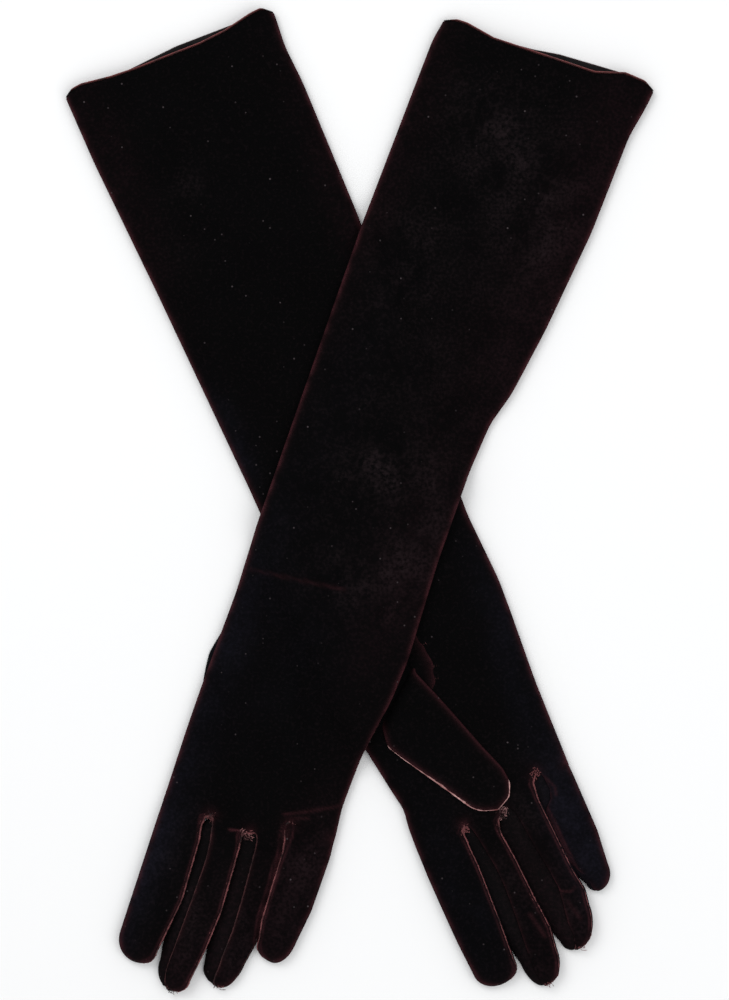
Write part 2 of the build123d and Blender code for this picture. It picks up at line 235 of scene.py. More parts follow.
def rounded(x):
    """A quarter circle's height at x, from 0 at its edge to 1."""
    x = np.clip(x, 0, 1)
    return np.sqrt(1 - (1 - x) ** 2)


def bowed(q, power):
    """The height of a flattened tube across its width, 0 at both sides and 1 in the middle."""
    return np.clip(1 - np.abs(2 * q - 1) ** power, 0, 1) ** (1 / power)


def into_hand(g):
    """How far a finger has turned into the hand at a share g of its length."""
    return smooth((g - HAND_STARTS) / (1 - HAND_STARTS))


def between(one, other, part):
    """A grid of u and a grid of v between two paths of as many points."""
    return [one[:, k:k + 1] + (other[:, k:k + 1] - one[:, k:k + 1]) * part for k in (0, 1)]


def ripples(u, v, seed, across, along, height):
    """Soft noise over the cloth, with its sizes across and along the hand in mm."""
    shape = np.broadcast(u, v).shape
    u, v = np.broadcast_to(u, shape).ravel(), np.broadcast_to(v, shape).ravel()
    values = [noise.noise(Vector((a / across, b / along, seed))) for a, b in zip(u, v)]
    return height * np.array(values).reshape(shape)


def distance_to_line(u, v, start, end):
    """Distance to a straight line, and how far along it the nearest point is, from 0 to 1."""
    du, dv = end[0] - start[0], end[1] - start[1]
    t = np.clip(((u - start[0]) * du + (v - start[1]) * dv) / (du * du + dv * dv), 0, 1)
    return np.hypot(u - start[0] - t * du, v - start[1] - t * dv), t


def unit(vectors):
    return vectors / np.maximum(np.linalg.norm(vectors, axis=1, keepdims=True), 1e-12)


def run_of(path):
    """How far along a path each of its points is."""
    return np.concatenate([[0], np.cumsum(np.linalg.norm(np.diff(path, axis=0), axis=1))])


def resampled(points, count):
    """The polyline's points at even distances along it, with its corners rounded a little."""
    points = np.array(points, float)
    steps = run_of(points)
    even = np.linspace(0, steps[-1], count)
    path = np.stack([np.interp(even, steps, points[:, k]) for k in range(points.shape[1])], 1)
    for _ in range(max(1, count // 24)):
        path[1:-1] = (path[:-2] + 2 * path[1:-1] + path[2:]) / 4
    return path


class Glove:
    """One glove's placing, outline and heights."""

    def __init__(self, side, lean, fingers, outline, palm_up, seed, seam_shares, tufts):
        self.side, self.fingers, self.outline = side, fingers, outline
        self.palm_up, self.seed = palm_up, seed
        self.seam_shares, self.tufts = seam_shares, tufts
        joint = next(j for j in frame["joints"] if j["name"] == side + "_thumb_fold")
        self.across = np.array([cos(radians(lean)), sin(radians(lean))])
        self.along = np.array([-self.across[1], self.across[0]])
        hinge = np.array(joint["pos_m"][:2]) / MM
        self.origin = hinge - HINGE_MIDDLE[0] * self.across - HINGE_MIDDLE[1] * self.along
        self.lift = lambda x, y, u, v: np.zeros_like(x)

    def plane(self, u, v):
        return [self.origin[k] + u * self.across[k] + v * self.along[k] for k in (0, 1)]

    def local(self, x, y):
        x, y = x - self.origin[0], y - self.origin[1]
        return x * self.across[0] + y * self.across[1], x * self.along[0] + y * self.along[1]

    def places(self, obj):
        """u and v of each of a mesh's points."""
        x, y, _ = points_of(obj).T / MM
        return self.local(x, y)

    def world(self, u, v, z):
        """Points in metres, raised by whatever the glove lies on."""
        u, v, z = np.broadcast_arrays(np.asarray(u, float), v, z)
        x, y = self.plane(u, v)
        return np.stack([x, y, z + TABLE_GAP + self.lift(x, y, u, v)], -1) * MM

    def flat_world(self, u, v, z):
        """Points in metres that lie straight on the table, under the rest of the glove."""
        u, v, z = np.broadcast_arrays(np.asarray(u, float), v, z)
        return np.stack([*self.plane(u, v), z + TABLE_GAP], -1) * MM

    def edges(self, v):
        return eased(self.outline["radial"], v), eased(self.outline["ulnar"], v)

    def heights(self, u, v):
        """The upper and lower cloth's heights in the hand and sleeve."""
        low, high = self.edges(v)
        inside = np.minimum(u - low, high - u)
        mouth = smooth((v - 470) / 90)
        thick = HAND_THICK + MOUTH_RISE * mouth * smooth(inside / 30)
        side = 0.42 * HAND_THICK
        upper = side + (thick - side) * rounded(inside / 7.5) * (0.9 + 0.1 * smooth(inside / 26))
        lower = side * (1 - rounded(inside / 5)) + 0.25
        soft = smooth(inside / 9) * smooth((v - 96) / 12)
        wide_ripples = ripples(u, v, self.seed, 38, 70, 1.0)
        upper = upper + soft * (wide_ripples + ripples(u, v, self.seed + 7, 13, 19, 0.4))
        upper = upper + soft * ripples(u, v, self.seed + 3, 5, 7, 0.14)
        for finger in self.fingers[:3]:
            crotch = finger["right"][-1]
            reach = np.hypot(u - crotch[1], v - crotch[0])
            turn = np.arctan2(v - crotch[0], u - crotch[1])
            upper = upper - 1.7 * np.exp(-(reach / 6) ** 2)
            upper = upper + 0.32 * np.exp(-reach / 11) * np.sin(7 * turn + crotch[1])
        for start, end, deep, wide in CREASES[self.side]:
            gap, t = distance_to_line(u, v, start, end)
            faded = np.sqrt(np.sin(np.pi * np.clip(t, 0.02, 0.98)))
            upper = upper - deep * np.exp(-(gap / wide) ** 2) * faded
        return upper, lower


def spaced(count):
    """0 to 1, closer together at both ends."""
    return (1 - np.cos(np.linspace(0, np.pi, count))) / 2


def hand_grid(glove):
    """The upper and lower cloth from the crotches to the mouth, as one grid of points each."""
    corners = [glove.fingers[0]["left"][-1]] + [f["right"][-1] for f in glove.fingers]
    fractions, start_v = [], []
    for k in range(4):
        a, b = corners[k], corners[k + 1]
        part = spaced(FINGER_COLUMNS)[(0 if k == 0 else 1):]
        fractions.append([a[1] + (b[1] - a[1]) * part, (k + part) / 4])
        start_v.append(a[0] + (b[0] - a[0]) * part)
    start_u, even = [np.concatenate([f[n] for f in fractions]) for n in (0, 1)]
    start_v = np.concatenate(start_v)
    low, high = glove.edges(start_v)
    first = (start_u - low) / (high - low)
    down = np.linspace(0, 1, SLEEVE_ROWS)[:, None] ** 1.15
    grids = []
    for cloth, mouth in enumerate((glove.outline["upper"], glove.outline["lower"])):
        width = np.array(mouth)[:, 0]
        end_v = at(mouth, width[0] + (width[-1] - width[0]) * even)
        v = start_v + (end_v - start_v) * down
        share = first + (even - first) * smooth((v - start_v) / 160)
        left, right = glove.edges(v)
        u = left + (right - left) * share
        grids.append(glove.world(u, v, glove.heights(u, v)[cloth]))
    return grids


def tube_rows(finger):
    """A finger's left and right edge and upper seams at each row from the tip to the crotches."""
    g = spaced(FINGER_ROWS)
    left_round, tip_u, tip_v, right_round = finger["tip"]
    sides = []
    for name, start in (("left", left_round), ("right", right_round)):
        v = tip_v + (finger[name][-1][0] - tip_v) * g
        open_ = rounded((v - tip_v) / (start - tip_v))
        sides.append((tip_u + (at(finger[name], v) - tip_u) * open_, v))
    (xl, vl), (xr, vr) = sides
    width = np.maximum(xr - xl, 1e-6)
    fade = smooth((vl - tip_v - 1) / 9)
    seam_left = np.zeros_like(g)
    if "seam" in finger:
        seam_left = np.clip((at(finger["seam"], vl) - xl) / width, 0, 0.6)
        held = np.searchsorted(vl, tip_v + 14)
        seam_left[:held] = seam_left[held]
    closing = 1 - smooth((g - 0.86) / 0.14)
    over = 1 - np.clip(SEAM_FROM_EDGE / width, 0, 0.1) * fade * closing
    return g, xl, vl, xr, vr, seam_left, over


def finger_surface(glove, index, rows, q, upper):
    """Points of a finger's tube where q is the share of its width, on its upper or lower half."""
    finger = glove.fingers[index]
    g, xl, vl, xr, vr = [a[:, None] for a in rows[:5]]
    u, v = xl + (xr - xl) * q, vl + (vr - vl) * q
    low, high = finger["raised"]
    tip_v = finger["tip"][2]
    hand = into_hand(g)
    base = (low + (high - low) * smooth(q * 1.1 - 0.05)) * rounded((v - tip_v) / 10)
    under_left = UNDERLAP if index and glove.fingers[index - 1]["raised"][1] else 0
    under_right = UNDERLAP if index < 3 and glove.fingers[index + 1]["raised"][0] else 0
    thick = FINGER_THICK * rounded((v - tip_v + 0.4) / 11)
    thick = thick * (1 - under_left * (1 - smooth(q / 0.42)))
    thick = thick * (1 - under_right * (1 - smooth((1 - q) / 0.42)))
    bow = bowed(q, 2.3)
    tube = base + thick * (0.5 + (0.5 if upper else -0.5) * bow) + 0.2
    if upper:
        soft = smooth(bow * 1.4 - 0.3)
        wrinkles = ripples(u, v, glove.seed + index, 9, 14, 0.55) + ripples(u, v, 5.0, 3.5, 4.5, 0.22)
        tube = tube + soft * wrinkles
    flat = glove.heights(u, v)[0 if upper else 1]
    return u, v, tube * (1 - hand) + flat * hand


def finger_grids(glove, index):
    """The upper and lower cloth of one finger, and its left and right fourchette walls."""
    rows = tube_rows(glove.fingers[index])
    seam_left, over = rows[5][:, None], rows[6][:, None]
    if index and "seam" not in glove.fingers[index]:
        seam_left = 1 - over
    if index == 3:
        over = over * 0 + 1
    part = spaced(FINGER_COLUMNS)[None, :]
    q = seam_left + (over - seam_left) * part
    lower_left = np.minimum(seam_left, 0.12)
    lower_q = lower_left + (over - lower_left) * part
    upper = finger_surface(glove, index, rows, q, True)
    lower = finger_surface(glove, index, rows, lower_q, False)
    walls = []
    for edge, seam, low_seam in ((0, seam_left, lower_left), (1, over, over)):
        w = np.linspace(0, 1, FOURCHETTE_COLUMNS)[None, :]
        top_q = seam + (edge - seam) * np.clip(w * 2, 0, 1)
        low_q = low_seam + (edge - low_seam) * np.clip(2 - w * 2, 0, 1)
        top = finger_surface(glove, index, rows, top_q, True)
        low = finger_surface(glove, index, rows, low_q, False)
        hand = into_hand(rows[0][:, None])
        first, last = top[2][:, :1], low[2][:, -1:]
        wall = [np.where(w <= 0.5, t, b) for t, b in zip(top, low)]
        wall[2] = wall[2] * (1 - hand) + (first + (last - first) * w) * hand
        walls.append(glove.world(*wall))
    return glove.world(*upper), glove.world(*lower), *walls


def mesh_object(name, grids, thickness=0.0, flip=False, drop=None):
    """One smooth mesh from grids of points whose shared edges are welded, made solid by a thickness in mm."""
    mesh = bmesh.new()
    for grid in grids:
        points = [[mesh.verts.new(p) for p in row] for row in grid]
        for a, b in zip(points[:-1], points[1:]):
            for k in range(len(a) - 1):
                corners = [a[k], a[k + 1], b[k + 1], b[k]]
                middle = sum((c.co for c in corners), Vector()) / 4
                if drop is None or not drop(middle):
                    mesh.faces.new(corners[::-1] if flip else corners)
    bmesh.ops.remove_doubles(mesh, verts=mesh.verts, dist=2e-6)
    bmesh.ops.dissolve_degenerate(mesh, edges=mesh.edges, dist=1e-6)
    loose = [v for v in mesh.verts if not v.link_faces]
    bmesh.ops.delete(mesh, geom=loose, context="VERTS")
    data = bpy.data.meshes.new(name)
    mesh.to_mesh(data)
    mesh.free()
    obj = bpy.data.objects.new(name, data)
    bpy.context.scene.collection.objects.link(obj)
    if thickness:
        solid = obj.modifiers.new("Cloth thickness", "SOLIDIFY")
        solid.thickness = thickness * MM
        solid.offset = -1
        apply_modifiers(obj)
    obj.data.shade_smooth()
    return obj


def apply_modifiers(obj):
    finished = bpy.data.meshes.new_from_object(obj.evaluated_get(bpy.context.evaluated_depsgraph_get()))
    obj.modifiers.clear()
    obj.data = finished


def mark(obj, name, values):
    """A number from 0 to 1 at each point, which the material reads."""
    attribute = obj.data.attributes.new(name, "FLOAT", "POINT")
    attribute.data.foreach_set("value", np.asarray(values, np.float32))


def points_of(obj):
    flat = np.zeros(len(obj.data.vertices) * 3, np.float32)
    obj.data.vertices.foreach_get("co", flat)
    return flat.reshape(-1, 3).astype(float)


def ribbon(path, normal, wide, tall, seed):
    """A sewn line along a path: two low rows of parted pile with the thread's groove between them.

    wide is half its width and tall its height in mm, one number or one for each point.
    """
    tangent = unit(np.gradient(path, axis=0))
    side = unit(np.cross(tangent, np.broadcast_to(normal, path.shape)))
    normal = np.cross(side, tangent)
    wide, tall = np.broadcast_to(wide, len(path)), np.broadcast_to(tall, len(path))
    across = np.array([-1, -0.85, -0.6, -0.35, 0, 0.35, 0.6, 0.85, 1])
    up = np.array([-0.5, 0.25, 0.9, 0.5, -0.1, 0.5, 0.9, 0.25, -0.5])
    ends = np.minimum(1, np.minimum(np.arange(len(path)), np.arange(len(path))[::-1]) / 3 + 0.25)
    rough = np.array([[noise.noise(Vector(p / MM * 0.9) + Vector((seed, s, 0))) for s in (0, 9)]
                      for p in path])
    width = wide * (1 + 0.35 * rough[:, 0]) * ends
    height = tall * (1 + 0.8 * rough[:, 1]) * ends
    return (path[:, None] + side[:, None] * (across[None, :, None] * width[:, None, None] * MM)
            + normal[:, None] * (up[None, :, None] * height[:, None, None] * MM))


def fibres_object(spot, count, reach, seed):
    """A spot of parted pile: short bright fibres lying every way over the cloth. spot is in metres."""
    blades = []
    for k in range(count):
        pick = [noise.noise(Vector((seed + 3.7 * k, 1.3 * n, 0.5))) for n in range(5)]
        angle, out = 2.4 * k, reach * np.sqrt((k + 0.5) / count)
        start = spot + np.array([cos(angle) * out, sin(angle) * out, pick[0] * 0.5]) * MM
        turn = angle + 1.6 + 3 * pick[1]
        length = (1.3 + 2.2 * abs(pick[2])) * MM
        steps = np.linspace(0, 1, 5)
        bend = pick[3] * 1.5
        path = np.stack([start[0] + length * steps * np.cos(turn + bend * steps),
                         start[1] + length * steps * np.sin(turn + bend * steps),
                         start[2] + 0.45 * MM * np.sin(np.pi * steps)], 1)
        blades.append(ribbon(path, np.array([0, 0, 1.0]), 0.24, 0.16, seed))
    return mesh_object("fibres", blades)


def finish_piece(obj, body, slot, replaced, attributes=None):
    obj.data.materials.append(MATERIALS[slot])
    for name, values in (attributes or {}).items():
        mark(obj, name, values)
    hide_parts(*replaced)
    if body:
        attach(obj, body)


def grid_area(grid):
    """A grid's own area in square metres."""
    down, across = grid[1:, :-1] - grid[:-1, :-1], grid[:-1, 1:] - grid[:-1, :-1]
    return float(np.linalg.norm(np.cross(down, across), axis=-1).sum())


def rim_sheen_of(glove, obj, soft=0.8):
    """1 at the cloth's visible edges and seams, fading inwards, where the pile stands out: the material
    paints a reddish sheen there.
    """
    u, v = glove.places(obj)
    low, high = glove.edges(v)
    gap = np.minimum(np.where(v > 97, u - low, 99), np.where(v > 110, high - u, 99))
    stitched = np.full_like(u, 99)
    for index, finger in enumerate(glove.fingers):
        left_round, tip_u, tip_v, right_round = finger["tip"]
        shown = dict(left=index == 0 or finger["raised"][0] > 0,
                     right=index == 3 or finger["raised"][1] > 0)
        for name, start in (("left", left_round), ("right", right_round)):
            edge = tip_u + (at(finger[name], v) - tip_u) * rounded((v - tip_v) / (start - tip_v))
            along = (v > tip_v) & (v < finger[name][-1][0]) & (shown[name] | (v < start + 4))
            near = np.abs(u - edge) * (0.45 + 0.55 * smooth((v - tip_v) / 14))
            gap = np.where(along, np.minimum(gap, near), gap)
            if finger["raised"][name == "right"] > 0:
                stitched = np.where(along, np.minimum(stitched, np.abs(u - edge)), stitched)
        if "seam" in finger:
            along = (v > finger["seam"][0][0]) & (v < finger["seam"][-1][0])
            gap = np.where(along, np.minimum(gap, 0.9 + np.abs(u - at(finger["seam"], v))), gap)
        reach = np.hypot(u - finger["right"][-1][1], v - finger["right"][-1][0])
        gap = np.minimum(gap, reach * 0.45)
    patchy = np.clip(0.75 + ripples(u, v, 91.0, 7, 7, 0.9), 0.25, 1)
    rim_sheen = np.exp(-np.maximum(gap, 0) / soft) * patchy
    rim_sheen = np.maximum(rim_sheen, 0.55 * np.exp(-((stitched - STITCHES_INSIDE) / 0.6) ** 2) * patchy)
    for points, strength, wide in SHOWN_LINES[glove.side]:
        away = near_path(glove, obj, resampled(points, 60))
        rim_sheen = np.maximum(rim_sheen, strength * np.exp(-(away / wide) ** 2) * np.sqrt(patchy))
    return rim_sheen


def brushed_and_sheen_of(glove, obj):
    """Where the pile is brushed the other way and looks lighter, and where its painted sheen is cool or warm.
    """
    u, v = glove.places(obj)
    cloud = np.clip(0.5 + ripples(u, v, 21.0, 16, 20, 0.9) + ripples(u, v, 23.0, 5, 6, 0.6), 0, 1.4)
    found = {}
    for name, spots in BRUSHED_AND_SHEEN[glove.side].items():
        total = np.zeros_like(u)
        for cu, cv, ru, rv, strength in spots:
            total += strength * np.exp(-((u - cu) / ru) ** 2 - ((v - cv) / rv) ** 2)
        found[name] = np.clip(total * (cloud if name == "brushed" else 0.4 + 0.6 * cloud), 0, 1)
    return found


def build_hand(glove):
    """Every cloth and seam of one glove except its thumb. Returns the two panels."""
    body = glove.side + "_glove"
    hand = hand_grid(glove)
    fingers = [finger_grids(glove, k) for k in range(4)]
    names = ("palm_panel", "back_panel") if glove.palm_up else ("back_panel", "palm_panel")
    panels = build_panels(glove, body, hand, fingers, names)
    for k, gap in enumerate(("index_middle", "middle_ring", "ring_little")):
        build_gap(glove, body, k, gap, fingers)
    build_edges(glove, body, hand, fingers)
    build_mouth(glove, body, *hand)
    return panels


def build_panels(glove, body, hand, fingers, names):
    """The upper and lower panel with their half of the fingers, each with its flat size and area."""
    low, high = glove.edges(FLAT_WIDTH_AT)
    width = (high - low) * MM
    panels = {}

    def in_hole(point):
        u, v = glove.local(point.x / MM, point.y / MM)
        u, v = u - HOLE_CENTRE[0], v - HOLE_CENTRE[1]
        a, b = u * cos(HOLE_TURN) + v * sin(HOLE_TURN), v * cos(HOLE_TURN) - u * sin(HOLE_TURN)
        return (a / (HOLE_RADII[0] - 1)) ** 2 + (b / (HOLE_RADII[1] - 1)) ** 2 < 1

    for cloth, name in enumerate(names):
        grids = [hand[cloth]] + [finger[cloth] for finger in fingers]
        drop = in_hole if name == "palm_panel" else None
        obj = mesh_object(f"{glove.side}_{name}_cloth", grids, CLOTH, cloth == 0, drop)
        # The panel gets a painted reddish sheen along its edges, seams and parted lines, and painted cool and
        # warm sheen in patches.
        finish_piece(obj, body, "velvet", [f"{glove.side}_{name}"],
                     {"rim_sheen": rim_sheen_of(glove, obj), **brushed_and_sheen_of(glove, obj)})
        panels[name] = (obj, (width, FLAT_LENGTH), sum(grid_area(g) for g in grids))
    return panels


def build_gap(glove, body, k, gap, fingers):
    """The fourchette between finger k and the next, and the two seams that hold it."""
    side, first = glove.side, FIRST_WALL_ROW
    strip = np.concatenate([fingers[k][3][first:], fingers[k + 1][2][first:][::-1][1:]])
    obj = mesh_object(f"{side}_{gap}_fourchette_strip", [strip], STRIP_CLOTH, glove.palm_up)
    # The fourchette's material is painted lighter than the velvet, against the shade between the fingers.
    finish_piece(obj, body, "fourchette", [f"{side}_{gap}_fourchette"], brushed_and_sheen_of(glove, obj))
    seams, brightness = [], []
    for cloth in (0, 1):
        out, back = fingers[k][cloth], fingers[k + 1][cloth]
        path = np.concatenate([out[first:, -1], back[first:, 0][::-1][1:]])
        beside = np.concatenate([out[first:, -1] - out[first:, -3],
                                 (back[first:, 2] - back[first:, 0])[::-1][1:]])
        up = 1 if cloth == 0 else -1
        normal = np.cross(np.gradient(path, axis=0), beside)
        normal = unit(normal * np.sign(normal[:, 2:3]) * up)
        normal[:, 2] += 0.3 * up
        along = np.arange(len(path))
        crotch = len(out) - first
        share = np.where(along < crotch, *glove.seam_shares[k])
        share = share + (1 - share) * np.exp(-(np.abs(along - crotch) / 14.0) ** 2)
        wide = SEAM_HALF_WIDTH * (0.5 + 0.5 * share)
        seams.append(ribbon(path, normal, wide, SEAM_HEIGHT * share, 3.0 + k))
        brightness += list(np.repeat(share, RIBBON_POINTS))
    obj = mesh_object(f"{side}_{gap}_seam_line", seams)
    v, u = glove.fingers[k]["right"][-1]
    spot = glove.world(u, v, glove.heights(u, v)[0] + 0.5)
    count, reach, strength = glove.tufts[k]
    join(obj, [fibres_object(spot, count, reach, 70.0 + k)])
    # The seam's and the crotch fibres' brightness is a painted sheen of parted pile.
    bright = np.full(len(obj.data.vertices), strength)
    bright[:len(brightness)] = brightness
    finish_piece(obj, body, "thread", [f"{side}_{gap}_seam"], {"rim_sheen": bright})


def seam_piece(glove, body, obj, name, strength):
    """Finishes a seam whose pile is parted equally strongly all along it, with an even painted sheen."""
    finish_piece(obj, body, "thread", [f"{glove.side}_{name}"], {"rim_sheen": [strength] * len(obj.data.vertices)})


def build_edges(glove, body, hand, fingers):
    """The two side seams and the seams over the middle and ring fingertips."""
    for name, finger, column in (("index_side_seam", 0, 0), ("little_side_seam", 3, -1)):
        inner = -1 if column == 0 else 0
        middles = []
        for cloth in (0, 1):
            tip = fingers[finger][cloth]
            middles.append(np.concatenate([hand[cloth][::-1, column], tip[::-1, column][1:],
                                           tip[1:TIP_SEAM_ROWS, inner]]))
        path = (middles[0] + middles[1]) / 2
        line = ribbon(path, outwards_of(path, 1 if column == 0 else -1), 0.7, 0.35, 11.0 + finger)
        seam_piece(glove, body, mesh_object(f"{glove.side}_{name}_line", [line]), name, 0.3)
    tips, places = [], []
    for finger in (1, 2):
        upper = fingers[finger][0]
        path = np.concatenate([upper[1:TIP_SEAM_ROWS, 0][::-1], upper[:TIP_SEAM_ROWS, -1]])
        tips.append(ribbon(path, outwards_of(path, 1) + np.array([0, 0, 0.7]), 0.8, 0.5, 17.0 + finger))
        places.append(upper[TIP_TUFT_ROW, FINGER_COLUMNS // 2])
    obj = mesh_object(f"{glove.side}_fingertip_seams_line", tips)
    join(obj, [fibres_object(place, TIP_TUFT_COUNT, TIP_TUFT_REACH, 90.0 + k)
               for k, place in enumerate(places)])
    seam_piece(glove, body, obj, "fingertip_seams", 0.8)


def outwards_of(path, turn):
    """Level directions at right angles to a path, to its right for turn 1 and to its left for -1."""
    tangent = np.gradient(path, axis=0)
    return unit(np.stack([tangent[:, 1], -tangent[:, 0], np.zeros(len(path))], 1) * turn)


def build_mouth(glove, body, upper, lower):
    """The cloth turned in at the mouth, with its fold, and the stitches that hold it."""
    across, away = [np.array([*direction, 0.0]) for direction in (glove.across, glove.along)]
    loop, behind = [np.concatenate([upper[row], lower[row][::-1][1:-1]]) for row in (-1, -8)]
    middle = (upper[-1] + lower[-1]) / 2
    centre = np.concatenate([middle, middle[::-1][1:-1]])
    inwards = np.zeros_like(loop)
    inwards[:, 2] = np.clip((centre - loop)[:, 2] / (0.8 * MM), -1, 1)
    width = np.linalg.norm(loop[0] - loop[len(upper[0]) - 1])
    sideways = (centre.mean(0) - loop) @ across
    inwards += across * (np.sign(sideways) * smooth(np.abs(sideways) / width * 8 - 3))[:, None]
    slope = (loop - behind)[:, 2] / np.linalg.norm(loop - behind, axis=1)
    # The fold's cross-section as (inwards, out of the mouth).
    profile = [(-0.25, 0.4), (0, 0.75), (0.4, 1.0), (0.9, 0.75), (1.15, 0.2), (1.2, -2), (1.2, -7),
               (1.2, -HEM_WIDTH)]
    rings = []
    for inner, out in profile:
        ring = loop + inwards * inner * MM + away * out * MM
        ring[:, 2] += slope * min(out, 0) * MM
        rings.append(np.concatenate([ring, ring[:1]]))
    obj = mesh_object(f"{glove.side}_hem_fold", [np.array(rings)], HEM_CLOTH, True)
    p, fold = points_of(obj), rings[2][:len(upper[0])]
    gap = np.min(np.linalg.norm(p[:, None] - fold[None, 6:-6], axis=2), axis=1) / MM
    # A painted highlight along the hem's fold.
    finish_piece(obj, body, "hem", [f"{glove.side}_hem"], {"rim_sheen": np.exp(-(gap / 0.7) ** 2)})
    closed_inwards = np.append(inwards, inwards[:1], axis=0)
    line = (rings[-2] * 4 + rings[-1]) / 5 + closed_inwards * HEM_CLOTH * MM
    steps = run_of(line) / MM
    stitches = []
    for start in np.arange(0, steps[-1] - STITCH_LENGTH, STITCH_LENGTH + STITCH_GAP):
        spots = np.linspace(start, start + STITCH_LENGTH, 5)
        path, inside = [np.stack([np.interp(spots, steps, values[:, k]) for k in range(3)], 1)
                        for values in (line, closed_inwards)]
        stitches.append(ribbon(path, inside, 0.35, 0.3, 2.0))
    seam_piece(glove, body, mesh_object(f"{glove.side}_hem_stitches", stitches), "hem_stitching", 0.5)


def build_thumb(glove):
    """The folded thumb with the seam round its sewn side, and its root in the hole."""
    sewn, folded = [resampled(side[::-1], THUMB_ROWS) for side in (THUMB_SEWN, THUMB_FOLDED)]
    part = spaced(THUMB_COLUMNS)
    t = np.linspace(0, 1, THUMB_ROWS)[:, None]
    u, v = between(sewn, folded, part)
    bow = bowed(part, 2.2)
    thick = THUMB_THICK * rounded(t / 0.16) * (1 - 0.45 * smooth((t - 0.8) / 0.2))
    root = smooth((t - 0.86) / 0.14)
    if glove.palm_up:
        under = np.minimum(glove.heights(u, v)[0] + 0.15, HAND_THICK + 0.5) - 2.4 * root
        dents = ripples(u, v, glove.seed + 31, 8, 12, 0.6) * bow
    else:
        under = 0.2 + 0 * u + root
        dents = 0
    top = under + thick * (0.5 + 0.5 * bow) + dents
    low = under + thick * (0.5 - 0.5 * bow)
    lifted = glove.world if glove.palm_up else glove.flat_world
    cloth = mesh_object(f"{glove.side}_thumb_cloth", [lifted(u, v, top)], THUMB_CLOTH, True)
    join(cloth, [mesh_object(f"{glove.side}_thumb_under", [lifted(u, v, low)], THUMB_CLOTH, False)])
    away = np.minimum(near_path(glove, cloth, sewn), near_path(glove, cloth, folded))
    # A painted reddish sheen along the thumb's edges.
    finish_piece(cloth, None, "velvet", [f"{glove.side}_thumb"],
                 {"rim_sheen": np.exp(-away / 0.9) * 0.8, **brushed_and_sheen_of(glove, cloth)})
    side_path, tip_path = [lifted(side[:, 0], side[:, 1], ((top + low) / 2)[:, column])
                           for side, column in ((sewn, 0), (folded, -1))]
    path = np.concatenate([side_path[:int(THUMB_ROWS * 0.86)][::-1], tip_path[1:int(THUMB_ROWS * 0.2)]])
    facing = outwards_of(path, -1) + np.array([0, 0, 0.8])
    wide = 0.62 + 0.28 * smooth(np.linspace(0, 2.4, len(path)))
    seam = mesh_object(f"{glove.side}_thumb_seam_line", [ribbon(path, facing, wide, wide * 0.8, 41.0)])
    # The thumb's seam is painted in a bright sheen.
    finish_piece(seam, None, "thread_bright", [f"{glove.side}_thumb_seam"])
    body, far, turn = glove.side + "_glove", glove.side + "_thumb", joint_turn(glove)
    for obj in (cloth, seam):
        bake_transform(obj)
    build_root(glove)


def near_path(glove, obj, path):
    """Distance in the glove's plane from each point to the nearest point of a path."""
    u, v = glove.places(obj)
    return np.min(np.hypot(u[:, None] - path[None, :, 0], v[:, None] - path[None, :, 1]), axis=1)


def joint_turn(glove):
    """Points just before and just after the thumb's fold line, in metres."""
    joint = next(j for j in frame["joints"] if j["name"] == glove.side + "_thumb_fold")
    middle, axis = np.array(joint["pos_m"]), np.array(joint["axis"])
    towards = np.array([-axis[1], axis[0], 0.0])
    tip = np.array([*glove.plane(*THUMB_SEWN[-1]), middle[2] / MM]) * MM
    towards *= np.sign((tip - middle) @ towards)
    return middle - towards * 4 * MM, middle + towards * 4 * MM


